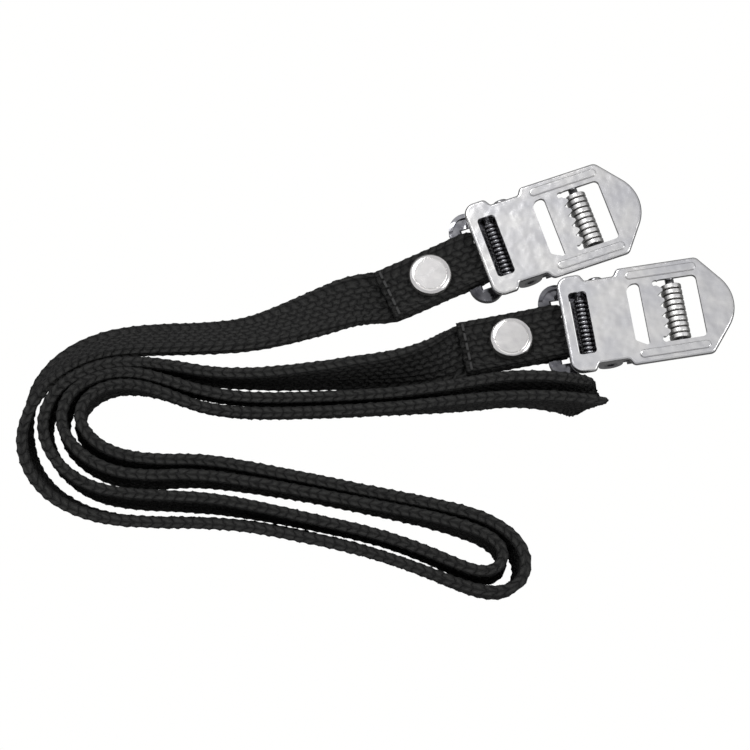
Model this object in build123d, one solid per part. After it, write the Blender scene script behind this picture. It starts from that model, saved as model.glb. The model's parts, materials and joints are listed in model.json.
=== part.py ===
from build123d import *
import math
import os

# A pair of woven straps, each with a sprung quick-release cam buckle riveted into one end.
# Millimetres, +Z up. The pair lies on the plane z = 0, folded together into one long bundle.
# +X runs from the strap bundle towards the buckle noses.

# ---- driving sizes ---------------------------------------------------------------------
STRAP_WIDTH = 12.0
STRAP_THICK = 1.7
PLY_GAP = 0.05                 # between webbing and what it lies against
FOLD_OVER = 19.3               # bar centre to the cut end of the turned-back webbing
RIVET_FROM_BAR = 8.5
SEAM_FROM_BAR = 18.0

SHEET = 0.9                    # gauge of the stamped base frame
BAR_WIDTH = 2.8
BAR_CENTRE_X = -2.6
RING_HALF_WIDTH = 10.2
RING_CORNER = 3.8
RING_LIP = 0.8
FRAME_SLOT_END_X = 3.1
FLOOR_END_X = 13.6
CHANNEL_HALF_WIDTH = 8.0       # outer faces of the channel walls between the lever lugs
ARM_HALF_WIDTH = 9.4           # outer faces of the roller arms
ARM_START_X = 12.1
ARM_LOW_Z = 3.2
ARM_HIGH_Z = 5.6

LEVER_LENGTH = 36.2
LEVER_GAUGE = 1.0
LEVER_UNDER_Z = 6.0
LEVER_HALF_WIDTH = 10.7
LEVER_WAIST_HALF = 9.2
WAIST_START_X = 6.0
WAIST_END_X = 12.2
PEAK_X = 30.2
NOSE_RADIUS = 8.5
WINDOW_HALF = 6.85             # half the cross length of the lever's three cut-outs
SPRING_SLOT = (2.0, 5.9)
STRAP_SLOT = (14.3, 17.2)
ROLLER_WINDOW = (20.7, 29.4)
TOOTH_REACH = 1.2
TOOTH_PITCH = 2.3
TOOTH_COUNT = 5
BEAD_WIDTH = 1.8
BEAD_HEIGHT = 0.4
BEAD_START_X = 14.6
BEAD_END_X = 29.8
RIM_ROUNDING = 0.6

PIVOT_X = 8.6
PIVOT_Z = 3.7
PIVOT_RADIUS = 1.3
LUG_RADIUS = 2.6
LUG_GAUGE = 0.9
RUNNING_GAP = 0.05             # radial, on both pins that something turns on
PIN_HEAD_RADIUS = 1.7
PIN_HEAD_THICK = 0.8

SPRING_X = 4.95
SPRING_Z = 3.2
SPRING_WIRE = 0.8
SPRING_MEAN_RADIUS = 1.4
SPRING_PITCH = 0.95
SPRING_TURNS = 13
SPRING_PIN_RADIUS = 0.9

ROLLER_X = 24.2
ROLLER_Z = 4.0
ROLLER_RADIUS = 2.25
ROLLER_LENGTH = 12.2
RIB_COUNT = 10
RIB_DEPTH = 0.42
AXLE_RADIUS = 0.95

CAP_RADIUS = 4.7
CAP_HEIGHT = 1.5
CAP_TOP_RADIUS = 3.45
SHANK_RADIUS = 1.5
WASHER_RADIUS = 3.6
WASHER_THICK = 0.5
STITCH_COUNT = 5
STITCH_LENGTH = 1.7
STITCH_DIAMETER = 0.5

# Each buckle's place: middle of the lever's strap-side edge, its turn, and the strap's swivel.
BACK_ORIGIN = (21.7, 27.8)
BACK_TURN = 19.2
BACK_SWIVEL = 5.5
FRONT_ORIGIN = (39.4, 11.4)
FRONT_TURN = 9.0
FRONT_SWIVEL = 2.0

# Routes of the single webbing after the seam: x, y and the roll of the tape about its own
# line, where 0 lies flat, 90 stands on edge with the left edge up and -90 with the right up.
BACK_ROUTE = [
    (-3.5, 19, 6), (-8.5, 17, 14), (-19, 12.5, 32), (-27, 9.9, 43), (-37, 9.1, 46), (-47, 8.9, 46),
    (-56, 8, 50), (-63.5, 5, 54), (-69, 0, 62), (-72, -6.5, 78), (-72.8, -13, 92), (-71.3, -19, 98),
    (-67.8, -23.8, 102), (-62.3, -27.6, 103), (-54.7, -30, 103), (-45.5, -30.6, 103),
    (-35.5, -30.6, 103), (-25.3, -31.4, 103), (-15, -33.5, 103), (-5, -35.7, 102), (5, -38.8, 101),
    (13, -42, 100), (20, -44.8, 98), (25, -45.5, 97), (28.6, -44, 97), (30, -40.6, 97),
    (29.2, -36.8, 96), (26.4, -33.4, 94), (21, -30, 90), (11, -27.2, 86), (0, -24.9, 84),
    (-11.2, -22.4, 83), (-23.5, -19.9, 83), (-35, -17.9, 84), (-44, -18.2, 86), (-50.5, -17.9, 90),
    (-56, -16.4, 93), (-60.4, -12.8, 95), (-62.0, -8, 96), (-59.3, -3.9, 97), (-54.5, -1.7, 98),
    (-48.5, -1.8, 99), (-42, -3.9, 101), (-36, -6.4, 103), (-26, -7.6, 103), (-10, -7.2, 103),
    (5, -6.3, 101), (13, -5.7, 98), (21, -4.9, 96), (27.5, -4.3, 98), (34, -4.4, 95),
    (41.5, -5.4, 89), (47.8, -6.9, 84)]
FRONT_ROUTE = [
    (15.7, 4.9, -20), (10.5, 3.0, -45), (5.2, 1.9, -60), (0, 1.5, -70), (-5.2, 1.2, -76),
    (-10, 0.8, -82), (-20, 0.1, -88), (-26, 0, -92), (-34, 0.2, -93), (-41.5, 1.9, -95),
    (-49.8, 3, -96), (-57, 2.4, -96), (-63.3, -0.6, -96), (-67.2, -4.4, -94), (-69, -10.5, -91),
    (-67.3, -16, -88), (-63.9, -20.5, -88), (-58.2, -24.2, -89), (-51, -25.7, -90), (-42, -26.1, -90),
    (-32.5, -26.7, -90), (-22.4, -28.5, -87.5), (-13, -30.55, -85.5), (-1, -33.2, -85), (9, -36.6, -86),
    (17, -40.3, -88), (21.4, -41.9, -89), (24.6, -41.3, -90), (26.2, -38.6, -90), (24.9, -35.6, -91),
    (21, -33, -92), (11, -29.9, -94), (0, -27.6, -96), (-13, -24.9, -97), (-25.5, -22.7, -95),
    (-37.5, -21.1, -93.5), (-47, -21.8, -92), (-54.2, -20.9, -90), (-60.6, -17.6, -89),
    (-64.8, -12.4, -88), (-65, -7.3, -87), (-62.8, -3.2, -86), (-58, -0.3, -85), (-51.7, 0.9, -84),
    (-45.3, -0.2, -83), (-36, -3.2, -81), (-26, -4.7, -80), (-10, -4.3, -80), (0, -3.9, -82),
    (5.2, -3.7, -85), (10.5, -3.3, -89), (15.7, -2.8, -91), (21, -1.7, -90), (27, -0.7, -90),
    (34, -0.8, -92), (41, -1.6, -95), (47.8, -3.3, -95)]
STEPS_PER_SPAN = 4
CENTRE = (0.81, 0.407)         # middle of the pair's outline, moved to the origin on writing
LOOP_STEPS = 10
BACK_CUT_LEAN = 6.5            # how far each free end is cut back at its lower or upper edge
FRONT_CUT_LEAN = 3.3

BAR_Z = STRAP_THICK + PLY_GAP + SHEET / 2
LOOP_RADIUS = SHEET / 2 + PLY_GAP + STRAP_THICK / 2
PLY_STEP = STRAP_THICK + PLY_GAP
LOWER_PLY_Z = WASHER_THICK + PLY_GAP + STRAP_THICK / 2
LEVER_TOP_Z = LEVER_UNDER_Z + LEVER_GAUGE


def place(shape, origin, turn):
    """Move a buckle piece from its own frame to its place in the pair."""
    return Location((origin[0], origin[1], 0), (0, 0, turn)) * shape


def cross_pin(x, z, radius, low_y, high_y):
    """A round pin across the buckle."""
    plane = Plane(origin=(x, low_y, z), x_dir=(1, 0, 0), z_dir=(0, 1, 0))
    return extrude(plane * Circle(radius), high_y - low_y)


def side_plate(outline, low_y, high_y):
    """An upright plate: a sketch drawn in x and z, between two y values."""
    plane = Plane(origin=(0, high_y, 0), x_dir=(1, 0, 0), z_dir=(0, -1, 0))
    return extrude(plane * outline, high_y - low_y)


def mirrored(shape):
    """The same piece on the other side of the buckle's middle plane."""
    return mirror(shape, Plane.XZ)


# ---- buckle ----------------------------------------------------------------------------
def base_frame():
    """Stamped frame: bar the strap loops round, floor, channel walls, arms for the roller."""
    ring_end = ARM_START_X - 7.6
    left = BAR_CENTRE_X - BAR_WIDTH / 2

    def ring_outline(inset, end):
        west, wide, narrow = left + inset, RING_HALF_WIDTH - inset, CHANNEL_HALF_WIDTH - inset
        corners = [(west, -wide), (0.6, -wide), (end, -narrow), (end, narrow), (0.6, wide), (west, wide)]
        radii = [RING_CORNER - inset, 3.0, 0.3, 0.3, 3.0, RING_CORNER - inset]
        return make_face(FilletPolyline(*corners, radius=radii, close=True))

    low = BAR_Z - SHEET / 2
    height = SHEET + RING_LIP
    outline = ring_outline(0, ring_end)
    plate = extrude(Pos(0, 0, low) * outline, height)
    plate -= extrude(Pos(0, 0, low + SHEET) * ring_outline(SHEET, ring_end + 2), height)
    plate -= Pos(left, 0, low + SHEET + 2) * Box(4, STRAP_WIDTH + 2.6, 4)
    bar_edge = BAR_CENTRE_X + BAR_WIDTH / 2 - SHEET / 2
    slot_half = CHANNEL_HALF_WIDTH - SHEET
    slot_length = ring_end + 1.0 - bar_edge
    plate -= Pos(bar_edge + slot_length / 2, 0, BAR_Z) * Box(slot_length, 2 * slot_half, 8)
    plate += cross_pin(bar_edge, BAR_Z, SHEET / 2, -slot_half, slot_half)

    wall_top = SPRING_Z + SPRING_PIN_RADIUS + 0.75
    outline = Polyline((FRAME_SLOT_END_X - 0.4, 0), (ARM_START_X + SHEET, 0),
                       (ARM_START_X + SHEET, ARM_HIGH_Z), (PIVOT_X + 2.2, ARM_HIGH_Z),
                       (PIVOT_X - 1.2, wall_top), (FRAME_SLOT_END_X - 0.4, wall_top), close=True)
    wall = side_plate(make_face(outline), CHANNEL_HALF_WIDTH - SHEET, CHANNEL_HALF_WIDTH)
    jog = side_plate(
        make_face(Polyline((ARM_START_X, ARM_LOW_Z), (ARM_START_X + SHEET, ARM_LOW_Z),
                           (ARM_START_X + SHEET, ARM_HIGH_Z), (ARM_START_X, ARM_HIGH_Z), close=True)),
        CHANNEL_HALF_WIDTH - SHEET, ARM_HALF_WIDTH)
    arm_end = ROLLER_X + 2.6
    arm_half = (ARM_HIGH_Z - ARM_LOW_Z) / 2
    arm_z = (ARM_HIGH_Z + ARM_LOW_Z) / 2
    arm_face = make_face(Polyline((ARM_START_X, ARM_LOW_Z), (arm_end - arm_half, ARM_LOW_Z),
                                  (arm_end - arm_half, ARM_HIGH_Z), (ARM_START_X, ARM_HIGH_Z), close=True))
    arm_face += Pos(arm_end - arm_half, arm_z) * Circle(arm_half)
    arm = side_plate(arm_face, ARM_HALF_WIDTH - SHEET, ARM_HALF_WIDTH)
    side = wall + jog + arm
    frame = plate + side + mirrored(side)
    floor_length = FLOOR_END_X - FRAME_SLOT_END_X
    floor = Box(floor_length, 2 * CHANNEL_HALF_WIDTH - SHEET, SHEET)
    frame += Pos(FRAME_SLOT_END_X + floor_length / 2, 0, SHEET / 2) * floor
    for x, z, radius in ((PIVOT_X, PIVOT_Z, PIVOT_RADIUS), (SPRING_X, SPRING_Z, SPRING_PIN_RADIUS),
                         (ROLLER_X, ROLLER_Z, AXLE_RADIUS)):
        frame -= cross_pin(x, z, radius, -20, 20)
    return frame


def lever_outline():
    """Plan of the lever: strap-side ring, waist between the bends, wide body, rounded nose."""
    apex = PEAK_X - 2.5 + NOSE_RADIUS / math.cos(math.radians(40))
    half = [(0, LEVER_HALF_WIDTH, 2.6), (WAIST_START_X - 0.9, LEVER_HALF_WIDTH, 1.0),
            (WAIST_START_X, LEVER_WAIST_HALF, 0.5), (WAIST_END_X, LEVER_WAIST_HALF, 0.8),
            (WAIST_END_X + 0.9, LEVER_HALF_WIDTH, 1.2), (PEAK_X, LEVER_HALF_WIDTH, 1.6)]
    points = [(x, y) for x, y, _ in half] + [(apex, 0)] + [(x, -y) for x, y, _ in reversed(half)]
    radii = [r for _, _, r in half] + [NOSE_RADIUS] + [r for _, _, r in reversed(half)]
    return make_face(FilletPolyline(*points, radius=radii, close=True))


def lever_cutouts():
    """Spring slot, strap slot and roller window with its row of teeth left standing."""
    low, high = SPRING_SLOT
    cuts = Pos((low + high) / 2, 0) * RectangleRounded(high - low, 2 * WINDOW_HALF, 0.8)
    low, high = STRAP_SLOT
    corners = [(low, WINDOW_HALF), (high, WINDOW_HALF), (high, -WINDOW_HALF + 0.3),
               (high - 0.6, -WINDOW_HALF), (low, -WINDOW_HALF + 1.3)]
    cuts += make_face(FilletPolyline(*corners, radius=[1.9, 0.9, 0.3, 0.3, 0.6], close=True))
    low, high = ROLLER_WINDOW
    window = Pos((low + high) / 2, 0) * RectangleRounded(high - low, 2 * WINDOW_HALF, 1.0)
    for side in (-1, 1):
        window += Pos(low, side * (WINDOW_HALF - 0.7)) * Circle(0.7)
    for index in range(TOOTH_COUNT):
        y = (index - (TOOTH_COUNT - 1) / 2) * TOOTH_PITCH
        half = TOOTH_PITCH / 2 - 0.1
        tooth = Polyline((low - 0.3, y - half), (low + 0.1, y - half), (low + TOOTH_REACH, y - 0.25),
                         (low + TOOTH_REACH, y + 0.25), (low + 0.1, y + half), (low - 0.3, y + half),
                         close=True)
        window -= make_face(tooth)
    return cuts + window


def lever_plate():
    """Stamped cam lever: plate with rounded top edges, two turned-down lugs and two beads."""
    plate = extrude(Pos(0, 0, LEVER_UNDER_Z) * (lever_outline() - lever_cutouts()), LEVER_GAUGE)
    top = plate.faces().sort_by(Axis.Z)[-1]
    plate = fillet(top.outer_wire().edges(), RIM_ROUNDING)
    lug_face = Pos(PIVOT_X, PIVOT_Z) * Circle(LUG_RADIUS)
    lug_height = LEVER_UNDER_Z + 0.3 - PIVOT_Z
    lug_face += Pos(PIVOT_X, PIVOT_Z + lug_height / 2) * Rectangle(2 * LUG_RADIUS, lug_height)
    lug = side_plate(lug_face, LEVER_WAIST_HALF - LUG_GAUGE, LEVER_WAIST_HALF)
    bead_length = BEAD_END_X - BEAD_START_X
    bead_y = (WINDOW_HALF + LEVER_HALF_WIDTH) / 2 - 0.1
    bead_sketch = Pos(BEAD_START_X + bead_length / 2, bead_y) * SlotOverall(bead_length, BEAD_WIDTH)
    bead = extrude(Pos(0, 0, LEVER_TOP_Z - 0.2) * bead_sketch, BEAD_HEIGHT + 0.2)
    bead = fillet(bead.faces().sort_by(Axis.Z)[-1].edges(), BEAD_HEIGHT * 0.9)
    plate += [lug, mirrored(lug), bead, mirrored(bead)]
    plate -= cross_pin(PIVOT_X, PIVOT_Z, PIVOT_RADIUS + RUNNING_GAP, -20, 20)
    return plate


def pivot_pin():
    """Headed pin that the lever swings on; its plain end is dimpled by the peening punch."""
    pin = cross_pin(PIVOT_X, PIVOT_Z, PIVOT_RADIUS, -LEVER_WAIST_HALF, LEVER_WAIST_HALF + 0.1)
    head = cross_pin(PIVOT_X, PIVOT_Z, PIN_HEAD_RADIUS,
                     LEVER_WAIST_HALF + 0.1, LEVER_WAIST_HALF + 0.1 + PIN_HEAD_THICK)
    head = fillet(head.faces().sort_by(Axis.Y)[-1].edges(), PIN_HEAD_THICK * 0.7)
    dimple = cross_pin(PIVOT_X, PIVOT_Z, PIVOT_RADIUS * 0.6, -LEVER_WAIST_HALF - 1, -LEVER_WAIST_HALF + 0.7)
    return pin + head - dimple


def spring_pin():
    """Plain pin through the channel walls that carries the coil."""
    return cross_pin(SPRING_X, SPRING_Z, SPRING_PIN_RADIUS, -CHANNEL_HALF_WIDTH, CHANNEL_HALF_WIDTH)


def torsion_spring():
    """Coil whose end legs stand on the floor and push up under the lever beside its pivot."""
    height = SPRING_PITCH * SPRING_TURNS
    helix = Helix(SPRING_PITCH, height, SPRING_MEAN_RADIUS)
    section = Plane(helix @ 0, z_dir=helix % 0) * Circle(SPRING_WIRE / 2)
    coil = sweep(section, helix)
    coil = Location((SPRING_X, height / 2, SPRING_Z), (90, 0, 0)) * coil
    leg_x = SPRING_X + SPRING_MEAN_RADIUS
    down = SPRING_Z - SHEET - 0.05
    up = LEVER_UNDER_Z - 0.05 - SPRING_Z
    coil += Pos(leg_x, height / 2, SPRING_Z - down / 2) * Cylinder(SPRING_WIRE / 2, down)
    coil += Pos(leg_x, -height / 2, SPRING_Z + up / 2) * Cylinder(SPRING_WIRE / 2, up)
    return coil


def clamp_roller():
    """Ribbed roller, bored to turn freely on its axle."""
    root = ROLLER_RADIUS - RIB_DEPTH
    pitch = ROLLER_LENGTH / RIB_COUNT
    bore = AXLE_RADIUS + RUNNING_GAP
    start = -ROLLER_LENGTH / 2
    points = [(bore, start)]
    for index in range(RIB_COUNT):
        y = start + index * pitch
        points += [(root, y), (ROLLER_RADIUS, y + pitch * 0.22), (ROLLER_RADIUS, y + pitch * 0.78)]
    points += [(root, -start), (bore, -start)]
    profile = make_face(Polyline(*points, close=True))
    turned = revolve(Plane.XY * profile, Axis.Y)
    return Pos(ROLLER_X, 0, ROLLER_Z) * turned


def roller_axle():
    """Plain axle peened into both arms."""
    return cross_pin(ROLLER_X, ROLLER_Z, AXLE_RADIUS, -ARM_HALF_WIDTH, ARM_HALF_WIDTH)


# ---- strap -----------------------------------------------------------------------------
def strap_frame(origin, turn, swivel):
    """Bar centre of a buckle and the direction the webbing leaves it, pointing to the nose."""
    a = math.radians(turn)
    bar = (origin[0] + BAR_CENTRE_X * math.cos(a), origin[1] + BAR_CENTRE_X * math.sin(a))
    return bar, turn + swivel


def smooth_line(points):
    """Points of the quadratic curve that runs through the middle of every inner leg."""
    line = []
    last = len(points) - 1
    for index in range(1, last):
        here = points[index]
        before, after = points[index - 1], points[index + 1]
        start = before if index == 1 else [(a + b) / 2 for a, b in zip(before, here)]
        end = after if index == last - 1 else [(a + b) / 2 for a, b in zip(here, after)]
        for step in range(STEPS_PER_SPAN):
            u = step / STEPS_PER_SPAN
            line.append([(1 - u) ** 2 * a + 2 * u * (1 - u) * b + u * u * c
                         for a, b, c in zip(start, here, end)])
    line.append(list(points[last]))
    return line


def resting_height(roll):
    """Height of the tape's middle when its lowest corner touches the ground."""
    a = math.radians(roll)
    return STRAP_WIDTH / 2 * abs(math.sin(a)) + STRAP_THICK / 2 * abs(math.cos(a))


def strap_stations(bar, heading, slack, route):
    """Centre, width direction and face direction of the tape, from the cut end to the tip."""
    a = math.radians(heading)
    along = Vector(math.cos(a), math.sin(a), 0)
    across = Vector(-math.sin(a), math.cos(a), 0)
    origin = Vector(bar[0], bar[1], 0)
    loop_u = BAR_WIDTH / 2 - SHEET / 2 + slack
    upper_rivet_z = LOWER_PLY_Z + PLY_STEP
    upper_bar_z = BAR_Z + LOOP_RADIUS
    stations = []

    def flat(u, z, slope):
        tangent = along * math.cos(slope) + Vector(0, 0, math.sin(slope))
        stations.append((origin + along * u + Vector(0, 0, z), across, tangent))

    bar_edge = -BAR_WIDTH / 2 - slack
    cap_edge = -RIVET_FROM_BAR + CAP_RADIUS
    rise = math.atan2(upper_bar_z - upper_rivet_z, bar_edge - cap_edge)
    flat(-FOLD_OVER, upper_rivet_z, 0)
    flat(-RIVET_FROM_BAR, upper_rivet_z, 0)
    flat(cap_edge + 0.1, upper_rivet_z, 0)
    flat(bar_edge - 0.1, upper_bar_z, rise / 3)
    for step in range(LOOP_STEPS + 1):
        turn = math.pi * step / LOOP_STEPS
        u = loop_u + LOOP_RADIUS * math.sin(turn)
        flat(u, BAR_Z + LOOP_RADIUS * math.cos(turn), -turn)
    lower_bar_z = BAR_Z - LOOP_RADIUS
    washer_edge = -RIVET_FROM_BAR + WASHER_RADIUS
    drop = math.atan2(LOWER_PLY_Z - lower_bar_z, bar_edge - washer_edge)
    for u, z, slope in ((bar_edge - 0.1, lower_bar_z, -drop / 3), (washer_edge + 0.1, LOWER_PLY_Z, 0),
                        (-RIVET_FROM_BAR, LOWER_PLY_Z, 0), (-SEAM_FROM_BAR, LOWER_PLY_Z, 0)):
        flat(u, z, slope - math.pi)
    seam = origin - along * SEAM_FROM_BAR
    control = [[seam.X, seam.Y, 0.0]] + [list(point) for point in route]
    line = smooth_line(control)
    count = len(line)
    lift = LOWER_PLY_Z - STRAP_THICK / 2
    travelled = 0.0
    for index in range(1, count):
        x, y, roll = line[index]
        before = line[index - 1]
        after = line[min(index + 1, count - 1)]
        travelled += math.dist(before[:2], (x, y))
        tangent = Vector(after[0] - before[0], after[1] - before[1], 0).normalized()
        left = Vector(-tangent.Y, tangent.X, 0)
        a = math.radians(roll)
        z = resting_height(roll) + lift * max(0.0, 1 - travelled / 14.0)
        width = left * math.cos(a) + Vector(0, 0, math.sin(a))
        stations.append((Vector(x, y, z), width * -1, tangent))
    return stations


def webbing(bar, heading, slack, route, cut_lean):
    """One woven strap as a plain solid, pierced for the rivet shank and cut off on a slant."""
    sections = []
    half_w, half_t = STRAP_WIDTH / 2, STRAP_THICK / 2
    stations = strap_stations(bar, heading, slack, route)
    for centre, width, tangent in stations:
        face = tangent.cross(width)
        corners = [centre + width * w + face * t for w, t in
                   ((-half_w, -half_t), (half_w, -half_t), (half_w, half_t), (-half_w, half_t))]
        sections.append(Wire.make_polygon(corners, close=True))
    tape = Solid.make_loft(sections, ruled=True)
    far, near = width * (half_w + 0.2), tangent * 0.5
    slant = make_face(Polyline(centre - far, centre - far + near, centre + far + near,
                               centre + far - tangent * cut_lean, close=True))
    tape -= extrude(slant, STRAP_THICK * 1.5, both=True)
    a = math.radians(heading)
    rivet = Pos(bar[0] - RIVET_FROM_BAR * math.cos(a), bar[1] - RIVET_FROM_BAR * math.sin(a), 0)
    return tape - rivet * Pos(0, 0, 3) * Cylinder(SHANK_RADIUS, 12)


def rivet_cap():
    """Pressed steel cap: rounded rim, shallow step and flat crown, hollow for the shank."""
    seat = LOWER_PLY_Z + PLY_STEP + STRAP_THICK / 2
    dome = Pos(0, 0, seat + CAP_HEIGHT / 2) * Cylinder(CAP_RADIUS, CAP_HEIGHT)
    dome = fillet(dome.faces().sort_by(Axis.Z)[-1].edges(), CAP_HEIGHT * 0.8)
    ring = Pos(0, 0, seat + CAP_HEIGHT) * Torus(CAP_TOP_RADIUS, 0.12)
    socket = Pos(0, 0, seat + 0.4) * Cylinder(SHANK_RADIUS, 0.8)
    return dome - ring - socket


def rivet_post():
    """Back half of the rivet: thin washer under the strap and the shank through both plies."""
    seat = LOWER_PLY_Z + PLY_STEP + STRAP_THICK / 2
    washer = Pos(0, 0, WASHER_THICK / 2) * Cylinder(WASHER_RADIUS, WASHER_THICK)
    washer = fillet(washer.edges().filter_by(GeomType.CIRCLE).group_by(Axis.Z)[0], 0.2)
    shank_height = seat + 0.8
    return washer + Pos(0, 0, shank_height / 2) * Cylinder(SHANK_RADIUS, shank_height)


def seam_stitches():
    """The runs of lock stitch that show above and below the doubled webbing."""
    top = LOWER_PLY_Z + PLY_STEP + STRAP_THICK / 2
    bottom = LOWER_PLY_Z - STRAP_THICK / 2
    pitch = (STRAP_WIDTH - 1.2) / STITCH_COUNT
    stitches = []
    for index in range(STITCH_COUNT):
        y = (index - (STITCH_COUNT - 1) / 2) * pitch
        for z in (top + STITCH_DIAMETER / 2, bottom - STITCH_DIAMETER / 2):
            run = SlotOverall(STITCH_LENGTH, STITCH_DIAMETER, rotation=90)
            stitches.append(Pos(-SEAM_FROM_BAR, y, z - STITCH_DIAMETER / 2) * extrude(run, STITCH_DIAMETER))
    return Compound([stitch.solid() for stitch in stitches])


# ---- assembly --------------------------------------------------------------------------
def write(name, shape):
    """Save a placed piece with the middle of the pair's outline at the origin."""
    export_step(Pos(-CENTRE[0], -CENTRE[1], 0) * shape, os.path.join("parts", name + ".step"))


os.makedirs("parts", exist_ok=True)
for prefix, origin, turn, swivel, route, cut_lean in (
        ("back", BACK_ORIGIN, BACK_TURN, BACK_SWIVEL, BACK_ROUTE, BACK_CUT_LEAN),
        ("front", FRONT_ORIGIN, FRONT_TURN, FRONT_SWIVEL, FRONT_ROUTE, FRONT_CUT_LEAN)):
    for name, make in (("base_frame", base_frame), ("lever_plate", lever_plate),
                       ("pivot_pin", pivot_pin), ("spring_pin", spring_pin),
                       ("torsion_spring", torsion_spring), ("clamp_roller", clamp_roller),
                       ("roller_axle", roller_axle)):
        write(prefix + "_" + name, place(make(), origin, turn))
    bar, heading = strap_frame(origin, turn, swivel)
    slack = STRAP_WIDTH / 2 * math.sin(math.radians(swivel))
    write(prefix + "_webbing", webbing(bar, heading, slack, route, cut_lean))
    for name, make, offset_u in (("rivet_cap", rivet_cap, -RIVET_FROM_BAR),
                                 ("rivet_post", rivet_post, -RIVET_FROM_BAR),
                                 ("seam_stitches", seam_stitches, 0.0)):
        shape = Location((bar[0], bar[1], 0), (0, 0, heading)) * Pos(offset_u, 0, 0) * make()
        write(prefix + "_" + name, shape)
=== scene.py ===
import json
import math

import bpy
import numpy as np
from mathutils import Matrix, Vector


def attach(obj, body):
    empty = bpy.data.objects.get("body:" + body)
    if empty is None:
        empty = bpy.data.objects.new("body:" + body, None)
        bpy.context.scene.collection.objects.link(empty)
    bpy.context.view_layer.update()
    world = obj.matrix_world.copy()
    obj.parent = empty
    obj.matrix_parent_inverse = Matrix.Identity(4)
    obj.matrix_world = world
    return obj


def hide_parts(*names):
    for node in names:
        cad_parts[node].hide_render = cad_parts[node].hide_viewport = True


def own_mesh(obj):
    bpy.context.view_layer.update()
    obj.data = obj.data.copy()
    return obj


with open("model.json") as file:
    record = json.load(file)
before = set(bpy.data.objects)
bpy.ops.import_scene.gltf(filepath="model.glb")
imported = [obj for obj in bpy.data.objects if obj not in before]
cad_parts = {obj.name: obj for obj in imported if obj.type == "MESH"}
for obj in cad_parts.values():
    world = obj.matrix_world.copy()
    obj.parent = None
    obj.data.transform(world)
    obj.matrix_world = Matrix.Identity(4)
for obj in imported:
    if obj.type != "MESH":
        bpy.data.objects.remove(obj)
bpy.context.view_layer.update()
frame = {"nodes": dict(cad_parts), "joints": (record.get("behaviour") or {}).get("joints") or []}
nodes = frame["nodes"]
MM = 0.001


def linear(hex_colour):
    """An sRGB hex colour as linear RGBA."""
    parts = [int(hex_colour[i:i + 2], 16) / 255 for i in (1, 3, 5)]
    return tuple(c / 12.92 if c <= 0.04045 else ((c + 0.055) / 1.055) ** 2.4 for c in parts) + (1.0,)


def add(tree, kind, *values, **settings):
    """Add a node, set its fields, link or set its inputs in order, and return the node."""
    made = tree.nodes.new(kind)
    for name, value in settings.items():
        setattr(made, name, value)
    for socket, value in zip(made.inputs, values):
        if isinstance(value, bpy.types.NodeSocket):
            tree.links.new(value, socket)
        elif value is not None:
            socket.default_value = value
    return made


# ---- Where the two buckles lie ----------------------------------------------------------
# The frame fixes both buckles: each lever's hinge gives its pivot and the direction of its
# nose, and everything on a buckle is placed from those two.
joints = {joint["name"]: joint for joint in frame["joints"]}
buckles = {}
for side in ("back", "front"):
    hinge = joints[side + "_lever_hinge"]
    turn = math.atan2(hinge["axis"][0], -hinge["axis"][1])
    pivot = Vector(hinge["pos_m"])
    pivot_x = 8.6 * MM
    origin = Vector((pivot.x - pivot_x * math.cos(turn), pivot.y - pivot_x * math.sin(turn), 0))
    buckles[side] = Matrix.Translation(origin) @ Matrix.Rotation(turn, 4, "Z")


# ---- Woven straps -----------------------------------------------------------------------
# Coarse black nylon webbing with rope-like selvedges, 12 mm wide, hot-cut at both ends. Each
# strap turns back on itself round its buckle's bar, where it is sewn and riveted, and then
# runs, mostly on edge, through the folded bundle.
strap_width = 12.0
strap_thick = 1.7
selvedge_width = 2.4
selvedge_thick = 2.8
step_along = 0.45
float_length = 2.1
row_width = 1.3
stitch_pitch = 2.1
bar_x = -2.6
bar_z = 2.2
bar_half = 1.4
loop_radius = 1.35
loop_start = 1.4
upper_ply_z = 3.15
lower_ply_z = 1.4
rivet_u = -8.5
seam_u = -18.0
fold_end_u = -19.3
upper_level = 4.8
lower_level = 3.7
bar_gap = 0.1
turn_steps = 25
settle_length = 14
steps_per_leg = 8
tip_lean = {"back": 6.5, "front": 3.3}
centre_shift = (0.81, 0.407)
strap_swivel = {"back": 5.5, "front": 2.0}
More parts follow.
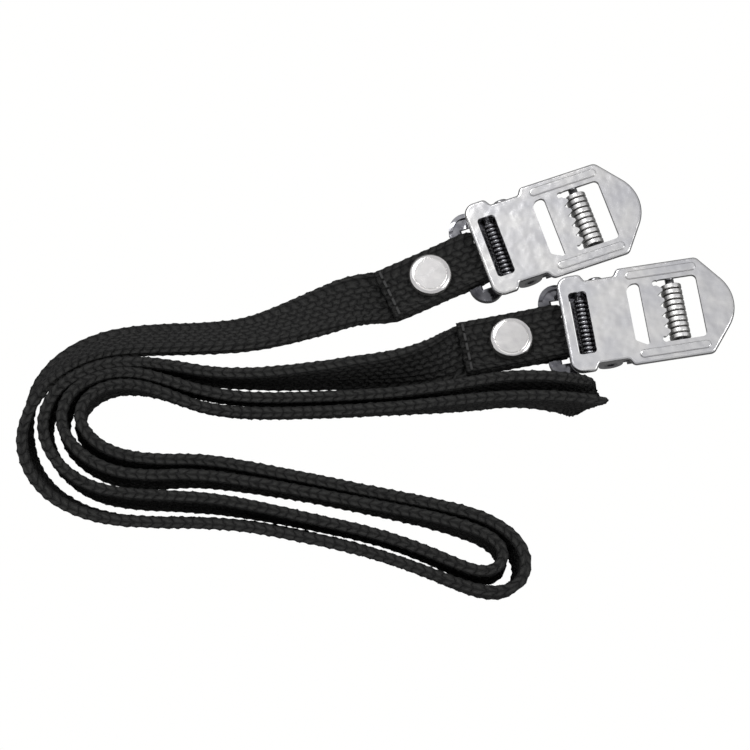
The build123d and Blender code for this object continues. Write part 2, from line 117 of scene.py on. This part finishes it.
strap_route = {
    "back": [
        (-3.5, 19, 6), (-8.5, 17, 14), (-19, 12.5, 32), (-27, 9.9, 43), (-37, 9.1, 46),
        (-47, 8.9, 46), (-56, 8, 50), (-63.5, 5, 54), (-69, 0, 62), (-72, -6.5, 78),
        (-72.8, -13, 92), (-71.3, -19, 98), (-67.8, -23.8, 102), (-62.3, -27.6, 103),
        (-54.7, -30, 103), (-45.5, -30.6, 103), (-35.5, -30.6, 103), (-25.3, -31.4, 103),
        (-15, -33.5, 103), (-5, -35.7, 102), (5, -38.8, 101), (13, -42, 100), (20, -44.8, 98),
        (25, -45.5, 97), (28.6, -44, 97), (30, -40.6, 97), (29.2, -36.8, 96), (26.4, -33.4, 94),
        (21, -30, 90), (11, -27.2, 86), (0, -24.9, 84), (-11.2, -22.4, 83), (-23.5, -19.9, 83),
        (-35, -17.9, 84), (-44, -18.2, 86), (-50.5, -17.9, 90), (-56, -16.4, 93), (-60.4, -12.8, 95),
        (-62.0, -8, 96), (-59.3, -3.9, 97), (-54.5, -1.7, 98), (-48.5, -1.8, 99), (-42, -3.9, 101),
        (-36, -6.4, 103), (-26, -7.6, 103), (-10, -7.2, 103), (5, -6.3, 101), (13, -5.7, 98),
        (21, -4.9, 96), (27.5, -4.3, 98), (34, -4.4, 95), (41.5, -5.4, 89), (47.8, -6.9, 84)],
    "front": [
        (15.7, 4.9, -20), (10.5, 3.0, -45), (5.2, 1.9, -60), (0, 1.5, -70), (-5.2, 1.2, -76),
        (-10, 0.8, -82), (-20, 0.1, -88), (-26, 0, -92), (-34, 0.2, -93), (-41.5, 1.9, -95),
        (-49.8, 3, -96), (-57, 2.4, -96), (-63.3, -0.6, -96), (-67.2, -4.4, -94),
        (-69, -10.5, -91), (-67.3, -16, -88), (-63.9, -20.5, -88), (-58.2, -24.2, -89),
        (-51, -25.7, -90), (-42, -26.1, -90), (-32.5, -26.7, -90), (-22.4, -28.5, -87.5),
        (-13, -30.55, -85.5), (-1, -33.2, -85), (9, -36.6, -86), (17, -40.3, -88), (21.4, -41.9, -89),
        (24.6, -41.3, -90), (26.2, -38.6, -90), (24.9, -35.6, -91), (21, -33, -92),
        (11, -29.9, -94), (0, -27.6, -96), (-13, -24.9, -97), (-25.5, -22.7, -95),
        (-37.5, -21.1, -93.5), (-47, -21.8, -92), (-54.2, -20.9, -90), (-60.6, -17.6, -89),
        (-64.8, -12.4, -88), (-65, -7.3, -87), (-62.8, -3.2, -86), (-58, -0.3, -85),
        (-51.7, 0.9, -84), (-45.3, -0.2, -83), (-36, -3.2, -81), (-26, -4.7, -80),
        (-10, -4.3, -80), (0, -3.9, -82), (5.2, -3.7, -85), (10.5, -3.3, -89), (15.7, -2.8, -91),
        (21, -1.7, -90), (27, -0.7, -90), (34, -0.8, -92), (41, -1.6, -95), (47.8, -3.3, -95)]}


def route_line(control):
    """Points of the quadratic curve through the middle of every inner leg of the list."""
    points = np.array(control, float)
    last = len(points) - 1
    line = []
    for i in range(1, last):
        here = points[i]
        start = points[0] if i == 1 else (points[i - 1] + here) / 2
        end = points[last] if i == last - 1 else (here + points[i + 1]) / 2
        for u in np.arange(0, 1, 1 / steps_per_leg):
            line.append((1 - u) ** 2 * start + 2 * u * (1 - u) * here + u * u * end)
    line.append(points[last])
    return np.array(line)


def strap_spine(side):
    """Middle, width direction and travel direction of one strap, from its cut end to its tip."""
    heading = math.atan2(buckles[side][1][0], buckles[side][0][0]) + math.radians(strap_swivel[side])
    bar = np.array(buckles[side] @ Vector((bar_x * MM, 0, 0))) / MM
    along = np.array((math.cos(heading), math.sin(heading), 0))
    across = np.array((-math.sin(heading), math.cos(heading), 0))
    up = np.array((0, 0, 1.0))
    slack = strap_width / 2 * math.sin(math.radians(strap_swivel[side]))
    turn_u = loop_start + slack
    bar_u = -bar_half - slack - bar_gap
    high, low = bar_z + loop_radius, bar_z - loop_radius
    profile = [(fold_end_u, upper_ply_z), (seam_u, upper_ply_z), (rivet_u, upper_ply_z),
               (rivet_u + upper_level, upper_ply_z), (bar_u, high), (turn_u, high)]
    for angle in np.linspace(0, math.pi, turn_steps)[1:-1]:
        profile.append((turn_u + loop_radius * math.sin(angle), bar_z + loop_radius * math.cos(angle)))
    profile += [(turn_u, low), (bar_u, low), (rivet_u + lower_level, lower_ply_z),
                (rivet_u, lower_ply_z), (seam_u, lower_ply_z)]
    middle = [bar * (1, 1, 0) + along * u + up * z for u, z in profile]
    width = [across] * len(middle)
    seam = middle[-1]
    control = [(seam[0], seam[1], 0)] + [(x - centre_shift[0], y - centre_shift[1], roll)
                                         for x, y, roll in strap_route[side]]
    line = route_line(control)
    gone = np.concatenate(([0], np.cumsum(np.hypot(*np.diff(line[:, :2], axis=0).T))))
    tangent = np.gradient(line[:, :2], gone, axis=0)
    for (x, y, roll), (tx, ty), distance in zip(line[1:], tangent[1:], gone[1:]):
        a = math.radians(roll)
        left = np.array((-ty, tx, 0)) / math.hypot(tx, ty)
        rest = strap_width / 2 * abs(math.sin(a)) + strap_thick / 2 * abs(math.cos(a))
        lift = (lower_ply_z - strap_thick / 2) * max(0.0, 1 - distance / settle_length)
        middle.append(np.array((x, y, rest + lift)))
        width.append(-(left * math.cos(a) + up * math.sin(a)))
    middle, width = np.array(middle), np.array(width)
    travelled = np.concatenate(([0], np.cumsum(np.linalg.norm(np.diff(middle, axis=0), axis=1))))
    count = int(travelled[-1] / step_along)
    at = np.linspace(0, travelled[-1], count + 1)
    middle = np.array([np.interp(at, travelled, column) for column in middle.T]).T
    width = np.array([np.interp(at, travelled, column) for column in width.T]).T
    smooth = np.array([1, 2, 3, 4, 3, 2, 1], float) / 16
    for _ in range(2):
        padded = np.pad(middle, ((3, 3), (0, 0)), mode="reflect", reflect_type="odd")
        middle = np.array([np.convolve(column, smooth, "valid") for column in padded.T]).T
    tangent = np.gradient(middle, axis=0)
    tangent /= np.linalg.norm(tangent, axis=1)[:, None]
    width -= tangent * np.sum(width * tangent, axis=1)[:, None]
    width /= np.linalg.norm(width, axis=1)[:, None]
    return at, middle, width, tangent


def strap_mesh(side):
    """Smooth closed tape that carries its own coordinates, in mm and, round the edge, radians."""
    flat_columns = 33
    edge_columns = 13
    swell_width = 1.3
    cut_length = 9
    thin_length = 4
    thin_share = 0.4
    edge_blend = 0.35
    at, middle, width, tangent = strap_spine(side)
    face = np.cross(tangent, width)
    edge_centre = (strap_width - selvedge_width) / 2
    ring = []
    for w in np.linspace(-edge_centre, edge_centre, flat_columns):
        near = np.clip((abs(w) - edge_centre + swell_width) / swell_width, 0, 1)
        swell = near * near * (3 - 2 * near)
        ring.append((w, strap_thick / 2 + swell * (selvedge_thick - strap_thick) / 2))
    for angle in np.linspace(90, -90, edge_columns)[1:-1]:
        a = math.radians(angle)
        ring.append((edge_centre + selvedge_width / 2 * math.cos(a), selvedge_thick / 2 * math.sin(a)))
    ring += [(-w, -t) for w, t in ring]
    rows, columns = len(at), len(ring)
    tip = np.clip((at - (at[-1] - cut_length)) / cut_length, 0, 1)
    thin = 1 - thin_share * np.clip((at - (at[-1] - thin_length)) / thin_length, 0, 1) ** 2
    points = np.empty((rows, columns, 3))
    for column, (w, t) in enumerate(ring):
        lean = tip_lean[side] * tip * (0.5 + w / strap_width)
        points[:, column] = middle + width * w + face * (t * thin)[:, None] - tangent * lean[:, None]
    verts = (points.reshape(-1, 3) * MM).tolist()
    faces = []
    for i in range(rows - 1):
        for j in range(columns):
            k = (j + 1) % columns
            faces.append((i * columns + j, i * columns + k,
                          (i + 1) * columns + k, (i + 1) * columns + j))
    for row in (0, rows - 1):
        centre = len(verts)
        verts.append((points[row].mean(axis=0) * MM).tolist())
        for j in range(columns):
            k = (j + 1) % columns
            pair = (row * columns + j, row * columns + k)
            faces.append((centre, pair[1], pair[0]) if row == 0 else (centre, pair[0], pair[1]))
    mesh = bpy.data.meshes.new(side + "_strap")
    mesh.from_pydata(verts, [], faces)
    mesh.validate()
    across, along, edge, around = (np.zeros(len(verts)) for _ in range(4))
    for column, (w, t) in enumerate(ring):
        inside = slice(column, rows * columns, columns)
        across[inside] = w
        edge[inside] = np.clip((abs(w) - (strap_width / 2 - selvedge_width)) / edge_blend, 0, 1)
        reach = abs(w) - edge_centre
        if reach > 0:
            around[inside] = math.atan2(t, reach)
        else:
            around[inside] = math.copysign(math.pi / 2, t) - reach * t
    along[:rows * columns] = np.repeat(at, columns)
    along[rows * columns + 1] = at[-1]
    for name, values in (("across", across), ("along", along), ("edge", edge), ("around", around)):
        layer = mesh.attributes.new(name, "FLOAT", "POINT")
        layer.data.foreach_set("value", values.astype(np.float32))
    mesh.shade_smooth()
    return mesh, at[-1]


def weave(tree, along, across, edge, around, float_length, row_width, stitch_pitch):
    """Height from 0 to 1 of staggered floats on the flat, and of chevron stitches on the edges."""
    wander_reach = 1.6
    row_sway = 0.1
    row_stagger = 0.5
    chevron_slope = 0.38
    edge_strands = 0.96
    strand_depth = 0.6

    def maths(operation, a, b=None):
        return add(tree, "ShaderNodeMath", a, b, operation=operation).outputs[0]

    def hump(phase):
        return maths("ABSOLUTE", maths("SINE", maths("MULTIPLY", phase, math.pi)))

    place = add(tree, "ShaderNodeCombineXYZ", along, across, around).outputs[0]
    wander = add(tree, "ShaderNodeTexNoise", place, None, 0.9, 1.0, 0.5).outputs[0]
    along = maths("ADD", along, maths("MULTIPLY", wander, wander_reach))
    wave = maths("SINE", maths("MULTIPLY", maths("DIVIDE", along, float_length), math.tau))
    row = maths("ADD", maths("DIVIDE", across, row_width), maths("MULTIPLY", wave, row_sway))
    stagger = maths("MULTIPLY", maths("FLOOR", row), row_stagger)
    float_phase = maths("ADD", maths("DIVIDE", along, float_length), stagger)
    brick = maths("MULTIPLY", maths("POWER", hump(float_phase), 0.6), maths("POWER", hump(row), 0.5))
    chevron = maths("ADD", maths("DIVIDE", along, stitch_pitch),
                    maths("MULTIPLY", maths("ABSOLUTE", around), chevron_slope))
    ply = hump(maths("MULTIPLY", around, edge_strands))
    strand = maths("ADD", maths("MULTIPLY", ply, strand_depth), 1 - strand_depth)
    stitch = maths("MULTIPLY", maths("POWER", hump(chevron), 0.6), strand)
    body_share = maths("SUBTRACT", 1.0, edge)
    return maths("ADD", maths("MULTIPLY", brick, body_share), maths("MULTIPLY", stitch, edge))


def weave_relief():
    """Lifts the tape's surface by its weave."""
    tree = bpy.data.node_groups.new("Woven relief", "GeometryNodeTree")
    face = tree.interface
    face.new_socket("Tape", in_out="INPUT", socket_type="NodeSocketGeometry")
    for name in ("Float length", "Row width", "Stitch pitch", "Relief", "Fuzz"):
        face.new_socket(name, in_out="INPUT", socket_type="NodeSocketFloat")
    face.new_socket("Yarn", in_out="INPUT", socket_type="NodeSocketMaterial")
    face.new_socket("Webbing", in_out="OUTPUT", socket_type="NodeSocketGeometry")
    given = add(tree, "NodeGroupInput").outputs
    own = [add(tree, "GeometryNodeInputNamedAttribute", name, data_type="FLOAT").outputs[0]
           for name in ("along", "across", "edge", "around")]
    raised = weave(tree, *own, given["Float length"], given["Row width"], given["Stitch pitch"])
    lift = add(tree, "ShaderNodeMath", raised, given["Relief"], operation="MULTIPLY").outputs[0]
    place = add(tree, "GeometryNodeInputPosition").outputs[0]
    noise = add(tree, "ShaderNodeTexNoise", place, None, 2600.0, 2.0, 0.6).outputs[0]
    centred = add(tree, "ShaderNodeMath", noise, 0.5, operation="SUBTRACT").outputs[0]
    height = add(tree, "ShaderNodeMath", centred, given["Fuzz"], lift,
                 operation="MULTIPLY_ADD").outputs[0]
    out = add(tree, "ShaderNodeVectorMath", add(tree, "GeometryNodeInputNormal").outputs[0],
              operation="SCALE")
    metres = add(tree, "ShaderNodeMath", height, MM, operation="MULTIPLY").outputs[0]
    tree.links.new(metres, out.inputs["Scale"])
    moved = add(tree, "GeometryNodeSetPosition", given["Tape"])
    tree.links.new(out.outputs[0], moved.inputs["Offset"])
    real = add(tree, "GeometryNodeRealizeInstances", moved.outputs[0])
    coloured = add(tree, "GeometryNodeSetMaterial", real.outputs[0])
    tree.links.new(given["Yarn"], coloured.inputs["Material"])
    add(tree, "NodeGroupOutput", coloured.outputs[0])
    return tree


def apply_nodes(name, mesh, tree, inputs):
    """Run a geometry node group on a mesh and return the finished plain mesh object."""
    base = bpy.data.objects.new(name, mesh)
    bpy.context.scene.collection.objects.link(base)
    modifier = base.modifiers.new("build", "NODES")
    modifier.node_group = tree
    sockets = {item.name: item.identifier for item in tree.interface.items_tree
               if item.item_type == "SOCKET" and item.in_out == "INPUT"}
    for label, value in inputs.items():
        modifier[sockets[label]] = value
    depsgraph = bpy.context.evaluated_depsgraph_get()
    finished = bpy.data.meshes.new_from_object(base.evaluated_get(depsgraph), depsgraph=depsgraph)
    base.modifiers.remove(modifier)
    base.data = finished
    finished.name = name
    return base


nylon = bpy.data.materials.new("Black nylon webbing")
nylon.use_nodes = True
tree = nylon.node_tree
tree.nodes.clear()
along, across, edge, around = (add(tree, "ShaderNodeAttribute", attribute_name=name).outputs["Fac"]
                               for name in ("along", "across", "edge", "around"))
raised = weave(tree, along, across, edge, around, float_length, row_width, stitch_pitch)
yarn_place = add(tree, "ShaderNodeCombineXYZ", along, across, around).outputs[0]
fibre_stretch = (1.6, 7.0, 6.0)
stretched = add(tree, "ShaderNodeVectorMath", yarn_place, fibre_stretch,
                operation="MULTIPLY").outputs[0]
filaments = add(tree, "ShaderNodeTexNoise", stretched, None, 1.4, 3.0, 0.6).outputs[0]
# Painted shade: the hollows between floats and stitches are coloured darker than their raised crowns.
tone = add(tree, "ShaderNodeValToRGB", raised)
tone.color_ramp.elements[0].color = linear("#111111")
tone.color_ramp.elements[0].position = 0.2
tone.color_ramp.elements[1].color = linear("#2b2b2a")
tone.color_ramp.elements[1].position = 0.95
lustre = add(tree, "ShaderNodeMapRange", filaments, 0.3, 0.7, 0.55, 1.3).outputs[0]
shaded_yarn_colour = add(tree, "ShaderNodeVectorMath", tone.outputs[0], operation="SCALE")
tree.links.new(lustre, shaded_yarn_colour.inputs["Scale"])
surface = add(tree, "ShaderNodeMath", filaments, 0.35, raised, operation="MULTIPLY_ADD").outputs[0]
bump = add(tree, "ShaderNodeBump", 1.0, 0.00045)
tree.links.new(surface, bump.inputs["Height"])
shader = add(tree, "ShaderNodeBsdfPrincipled")
tree.links.new(shaded_yarn_colour.outputs[0], shader.inputs["Base Color"])
tree.links.new(bump.outputs[0], shader.inputs["Normal"])
shader.inputs["Roughness"].default_value = 0.66
shader.inputs["Specular IOR Level"].default_value = 0.22
add(tree, "ShaderNodeOutputMaterial", shader.outputs[0])

relief = weave_relief()
for side in ("back", "front"):
    mesh, length = strap_mesh(side)
    strap = apply_nodes(side + "_woven_strap", mesh, relief, {
        "Float length": float_length, "Row width": row_width, "Stitch pitch": stitch_pitch,
        "Relief": 0.42, "Fuzz": 0.12, "Yarn": nylon})
    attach(strap, "straps_and_frames")
    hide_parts(side + "_webbing")


# ---- Plated levers, frames, pins and rivets ---------------------------------------------
# Smooth plated steels, a little cloudy, some with faint waves: light zinc on the levers,
# the same zinc darkened as painted shade on the base frames, drawn steel for the pins and nickel on
# the rivets.
def plated(name, dull, bright, roughness, marks):
    """A plated steel clouded between two colours, with faint marks in its surface."""
    material = bpy.data.materials.new(name)
    material.use_nodes = True
    tree = material.node_tree
    tree.nodes.clear()
    place = add(tree, "ShaderNodeTexCoord").outputs["Object"]
    clouds = add(tree, "ShaderNodeTexNoise", place, None, 140.0, 2.0, 0.5)
    tone = add(tree, "ShaderNodeValToRGB", clouds.outputs[0])
    tone.color_ramp.elements[0].color = linear(dull)
    tone.color_ramp.elements[0].position = 0.35
    tone.color_ramp.elements[1].color = linear(bright)
    tone.color_ramp.elements[1].position = 0.65
    waves = add(tree, "ShaderNodeTexNoise", place, None, 420.0, 1.0, 0.4)
    bump = add(tree, "ShaderNodeBump", marks, 0.0003)
    tree.links.new(waves.outputs[0], bump.inputs["Height"])
    shader = add(tree, "ShaderNodeBsdfPrincipled")
    shader.inputs["Metallic"].default_value = 1.0
    shader.inputs["Roughness"].default_value = roughness
    tree.links.new(tone.outputs[0], shader.inputs["Base Color"])
    tree.links.new(bump.outputs[0], shader.inputs["Normal"])
    add(tree, "ShaderNodeOutputMaterial", shader.outputs[0])
    return material


def wear(node, material):
    """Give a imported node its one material."""
    piece = nodes[node]
    piece.data.materials.clear()
    piece.data.materials.append(material)


lever_steel = plated("Zinc-plated lever sheet", "#cbcbcd", "#dddcda", 0.27, 0.35)
# The base frames' darker zinc is painted shade: the lever's plate, darkened because it lies under the
# lever.
shaded_frame_steel = plated("Zinc-plated frame sheet in painted shade", "#4c4c50", "#a0a0a4", 0.14, 0.9)
pin_steel = plated("Bright drawn pin steel", "#a6a6a9", "#bcbcbe", 0.18, 0.1)
rivet_steel = plated("Nickel-plated rivet cap", "#dcdad8", "#efedeb", 0.17, 0.25)
# The spring wire is darker than the pins as painted shade, because the coil lies in the shadow under
# the lever.
shaded_spring_steel = plated("Spring wire in painted shade", "#7c7c7f", "#949497", 0.18, 0.0)
for side in ("back", "front"):
    wear(side + "_lever_plate", lever_steel)
    wear(side + "_base_frame", shaded_frame_steel)
    for name in ("_pivot_pin", "_spring_pin", "_roller_axle"):
        wear(side + name, pin_steel)
    for name in ("_rivet_cap", "_rivet_post"):
        wear(side + name, rivet_steel)


# ---- Torsion springs --------------------------------------------------------------------
# Thirteen close turns of wire, its colour darkened as painted shade, on their own pin, with one leg on
# the floor of the frame and one pressed up under the lever.
def coil_nodes():
    """A helix with two straight end legs, swept with round wire."""
    tree = bpy.data.node_groups.new("Torsion coil", "GeometryNodeTree")
    face = tree.interface
    face.new_socket("Seed", in_out="INPUT", socket_type="NodeSocketGeometry")
    for name in ("Turns", "Mean radius", "Length", "Wire radius", "Leg down", "Leg up"):
        face.new_socket(name, in_out="INPUT", socket_type="NodeSocketFloat")
    face.new_socket("Wire", in_out="INPUT", socket_type="NodeSocketMaterial")
    face.new_socket("Spring", in_out="OUTPUT", socket_type="NodeSocketGeometry")
    given = add(tree, "NodeGroupInput").outputs
    helix = add(tree, "GeometryNodeCurveSpiral", 32, given["Turns"], given["Mean radius"],
                given["Mean radius"], given["Length"])
    laid = add(tree, "GeometryNodeTransform", helix.outputs[0])
    laid.inputs["Rotation"].default_value = (math.radians(90), 0, 0)
    half = add(tree, "ShaderNodeMath", given["Length"], 0.5, operation="MULTIPLY").outputs[0]
    shift = add(tree, "ShaderNodeCombineXYZ", 0.0, half).outputs[0]
    tree.links.new(shift, laid.inputs["Translation"])
    legs = []
    for y_sign, reach in ((1, given["Leg down"]), (-1, given["Leg up"])):
        y = add(tree, "ShaderNodeMath", half, float(y_sign), operation="MULTIPLY").outputs[0]
        start = add(tree, "ShaderNodeCombineXYZ", given["Mean radius"], y).outputs[0]
        z = add(tree, "ShaderNodeMath", reach, -float(y_sign), operation="MULTIPLY").outputs[0]
        end = add(tree, "ShaderNodeCombineXYZ", given["Mean radius"], y, z).outputs[0]
        legs.append(add(tree, "GeometryNodeCurvePrimitiveLine", start, end).outputs[0])
    both = add(tree, "GeometryNodeJoinGeometry")
    for part in [laid.outputs[0]] + legs:
        tree.links.new(part, both.inputs[0])
    round_wire = add(tree, "GeometryNodeCurvePrimitiveCircle", 10)
    tree.links.new(given["Wire radius"], round_wire.inputs["Radius"])
    swept = add(tree, "GeometryNodeCurveToMesh", both.outputs[0], round_wire.outputs[0])
    swept.inputs["Fill Caps"].default_value = True
    real = add(tree, "GeometryNodeRealizeInstances", swept.outputs[0])
    coloured = add(tree, "GeometryNodeSetMaterial", real.outputs[0])
    tree.links.new(given["Wire"], coloured.inputs["Material"])
    add(tree, "NodeGroupOutput", coloured.outputs[0])
    return tree


spring_x, spring_z = 4.95, 3.2
leg_down, leg_up = 2.25, 2.75
coil = coil_nodes()
for side in ("back", "front"):
    piece = apply_nodes(side + "_coil", bpy.data.meshes.new(side + "_coil_seed"), coil, {
        "Turns": 13.0, "Mean radius": 1.4 * MM, "Length": 12.35 * MM, "Wire radius": 0.4 * MM,
        "Leg down": leg_down * MM, "Leg up": leg_up * MM, "Wire": shaded_spring_steel})
    place = buckles[side] @ Matrix.Translation((spring_x * MM, 0, spring_z * MM))
    piece.data.transform(place)
    piece.data.shade_smooth()
    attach(piece, "straps_and_frames")
    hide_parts(side + "_torsion_spring")
    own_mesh(piece)


# ---- Clamp rollers ----------------------------------------------------------------------
# Turned steel rollers with ten rounded ribs that press the strap up against the teeth, their
# grooves darkened with painted shade. Each is bored for its axle.
roller_x, roller_z = 24.2, 4.0
roller_length, roller_radius, rib_depth, rib_count = 12.2, 2.25, 0.7, 10
rib_shoulder = 0.45
bore_radius = 1.0
steps_per_rib = 24
facets = 72
roller_steel = plated("Turned roller steel", "#e4e3e1", "#efeeec", 0.34, 0.0)
tree = roller_steel.node_tree
shader = next(node for node in tree.nodes if node.type == "BSDF_PRINCIPLED")
polish = shader.inputs["Base Color"].links[0].from_socket
crown = add(tree, "ShaderNodeAttribute", attribute_name="crown").outputs["Fac"]
# Painted shade: the grooves between the ribs are mixed towards near-black, following the crown
# attribute.
groove_shade = add(tree, "ShaderNodeMixRGB", crown, linear("#1a1a1b"), polish)
tree.links.new(groove_shade.outputs[0], shader.inputs["Base Color"])

steps = rib_count * steps_per_rib
profile = []
for step in range(steps + 1):
    from_groove = abs((rib_count * step / steps + 0.5) % 1 - 0.5) * 2
    height = 1 - max(0.0, 1 - from_groove / rib_shoulder) ** 2
    radius = roller_radius - rib_depth + rib_depth * height
    profile.append((-roller_length / 2 + roller_length * step / steps, radius, height))
profile += [(roller_length / 2, bore_radius, 0.0), (-roller_length / 2, bore_radius, 0.0)]

for side in ("back", "front"):
    verts, faces, crowns = [], [], []
    for ring, (y, radius, height) in enumerate(profile):
        after = (ring + 1) % len(profile)
        crowns += [height] * facets
        for j in range(facets):
            k = (j + 1) % facets
            a = math.tau * j / facets
            verts.append((radius * math.cos(a) * MM, y * MM, radius * math.sin(a) * MM))
            faces.append((ring * facets + j, after * facets + j, after * facets + k,
                          ring * facets + k))
    mesh = bpy.data.meshes.new(side + "_roller")
    mesh.from_pydata(verts, [], faces)
    mesh.attributes.new("crown", "FLOAT", "POINT").data.foreach_set("value", crowns)
    mesh.materials.append(roller_steel)
    mesh.transform(buckles[side] @ Matrix.Translation((roller_x * MM, 0, roller_z * MM)))
    mesh.shade_smooth()
    roller = bpy.data.objects.new(side + "_ribbed_roller", mesh)
    bpy.context.scene.collection.objects.link(roller)
    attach(roller, side + "_roller")
    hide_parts(side + "_clamp_roller")


# ---- Seam stitches ----------------------------------------------------------------------
# Five runs of dark bonded thread hold the turned-back end; each run is a plump capsule that
# sinks into the weave, above and below the doubled strap.
thread = bpy.data.materials.new("Dark bonded thread")
thread.use_nodes = True
tree = thread.node_tree
shader = tree.nodes["Principled BSDF"]
shader.inputs["Base Color"].default_value = linear("#1d1d1c")
shader.inputs["Roughness"].default_value = 0.6
for side in ("back", "front"):
    wear(side + "_seam_stitches", thread)


# ---- Ground, light and camera -----------------------------------------------------------
# A white light table, which shows no shadows and is dim in polished faces, with soft light
# from above and a view from high in front.
ground_mesh = bpy.data.meshes.new("ground")
ground_mesh.from_pydata([(-3, -3, 0), (3, -3, 0), (3, 3, 0), (-3, 3, 0)], [], [(0, 1, 2, 3)])
ground = bpy.data.objects.new("ground", ground_mesh)
ground.location.z = -0.0002
bpy.context.scene.collection.objects.link(ground)
table = bpy.data.materials.new("White light table")
table.use_nodes = True
tree = table.node_tree
tree.nodes.clear()
path = add(tree, "ShaderNodeLightPath")
strength = add(tree, "ShaderNodeMapRange", path.outputs["Is Glossy Ray"], 0.0, 1.0, 1.0, 0.12)
glow = add(tree, "ShaderNodeEmission", (1, 1, 0.995, 1), strength.outputs[0])
add(tree, "ShaderNodeOutputMaterial", glow.outputs[0])
ground_mesh.materials.append(table)

for name, place, size, watts in (
        ("key", (-0.25, 0.45, 0.75), 0.35, 3.0),
        ("fill", (0.6, -0.1, 0.6), 0.3, 1.4)):
    lamp = bpy.data.lights.new(name, "AREA")
    lamp.size = size
    lamp.energy = watts
    source = bpy.data.objects.new(name, lamp)
    source.location = place
    source.rotation_euler = (-Vector(place)).to_track_quat("-Z", "Y").to_euler()
    bpy.context.scene.collection.objects.link(source)

# Even white light on everything, while polished faces mirror a room that is bright overhead
# and dark low down.
world = bpy.data.worlds.new("studio")
world.use_nodes = True
tree = world.node_tree
tree.nodes.clear()
path = add(tree, "ShaderNodeLightPath")
direction = add(tree, "ShaderNodeTexCoord").outputs["Generated"]
split = add(tree, "ShaderNodeSeparateXYZ", direction)
room = add(tree, "ShaderNodeValToRGB", split.outputs[2])
for position, shade in ((0.0, "#18181a"), (0.25, "#2c2c2f"), (0.40, "#d8d8da"), (0.60, "#c6c6c9"),
                        (0.80, "#d2d2d4"), (0.90, "#b4b4ba"), (1.0, "#dedee0")):
    if position in (0.0, 1.0):
        stop = room.color_ramp.elements[int(position)]
    else:
        stop = room.color_ramp.elements.new(position)
    stop.color = linear(shade)
even = add(tree, "ShaderNodeBackground", (1, 1, 1, 1), 0.9)
mirrored = add(tree, "ShaderNodeBackground", room.outputs[0], 1.0)
chosen = add(tree, "ShaderNodeMixShader", path.outputs["Is Glossy Ray"], even.outputs[0],
             mirrored.outputs[0])
add(tree, "ShaderNodeOutputWorld", chosen.outputs[0])
bpy.context.scene.world = world
bpy.context.scene.view_settings.view_transform = "Standard"

elevation = math.radians(74)
distance = 0.5
target = Vector((-1.01 * MM, 2.193 * MM, 0))
camera_data = bpy.data.cameras.new("view")
camera_data.lens = 113.5
camera_data.sensor_width = 36
camera = bpy.data.objects.new("view", camera_data)
camera.location = target + distance * Vector((0, -math.cos(elevation), math.sin(elevation)))
camera.rotation_euler = (target - camera.location).to_track_quat("-Z", "Y").to_euler()
bpy.context.scene.collection.objects.link(camera)
bpy.context.scene.camera = camera
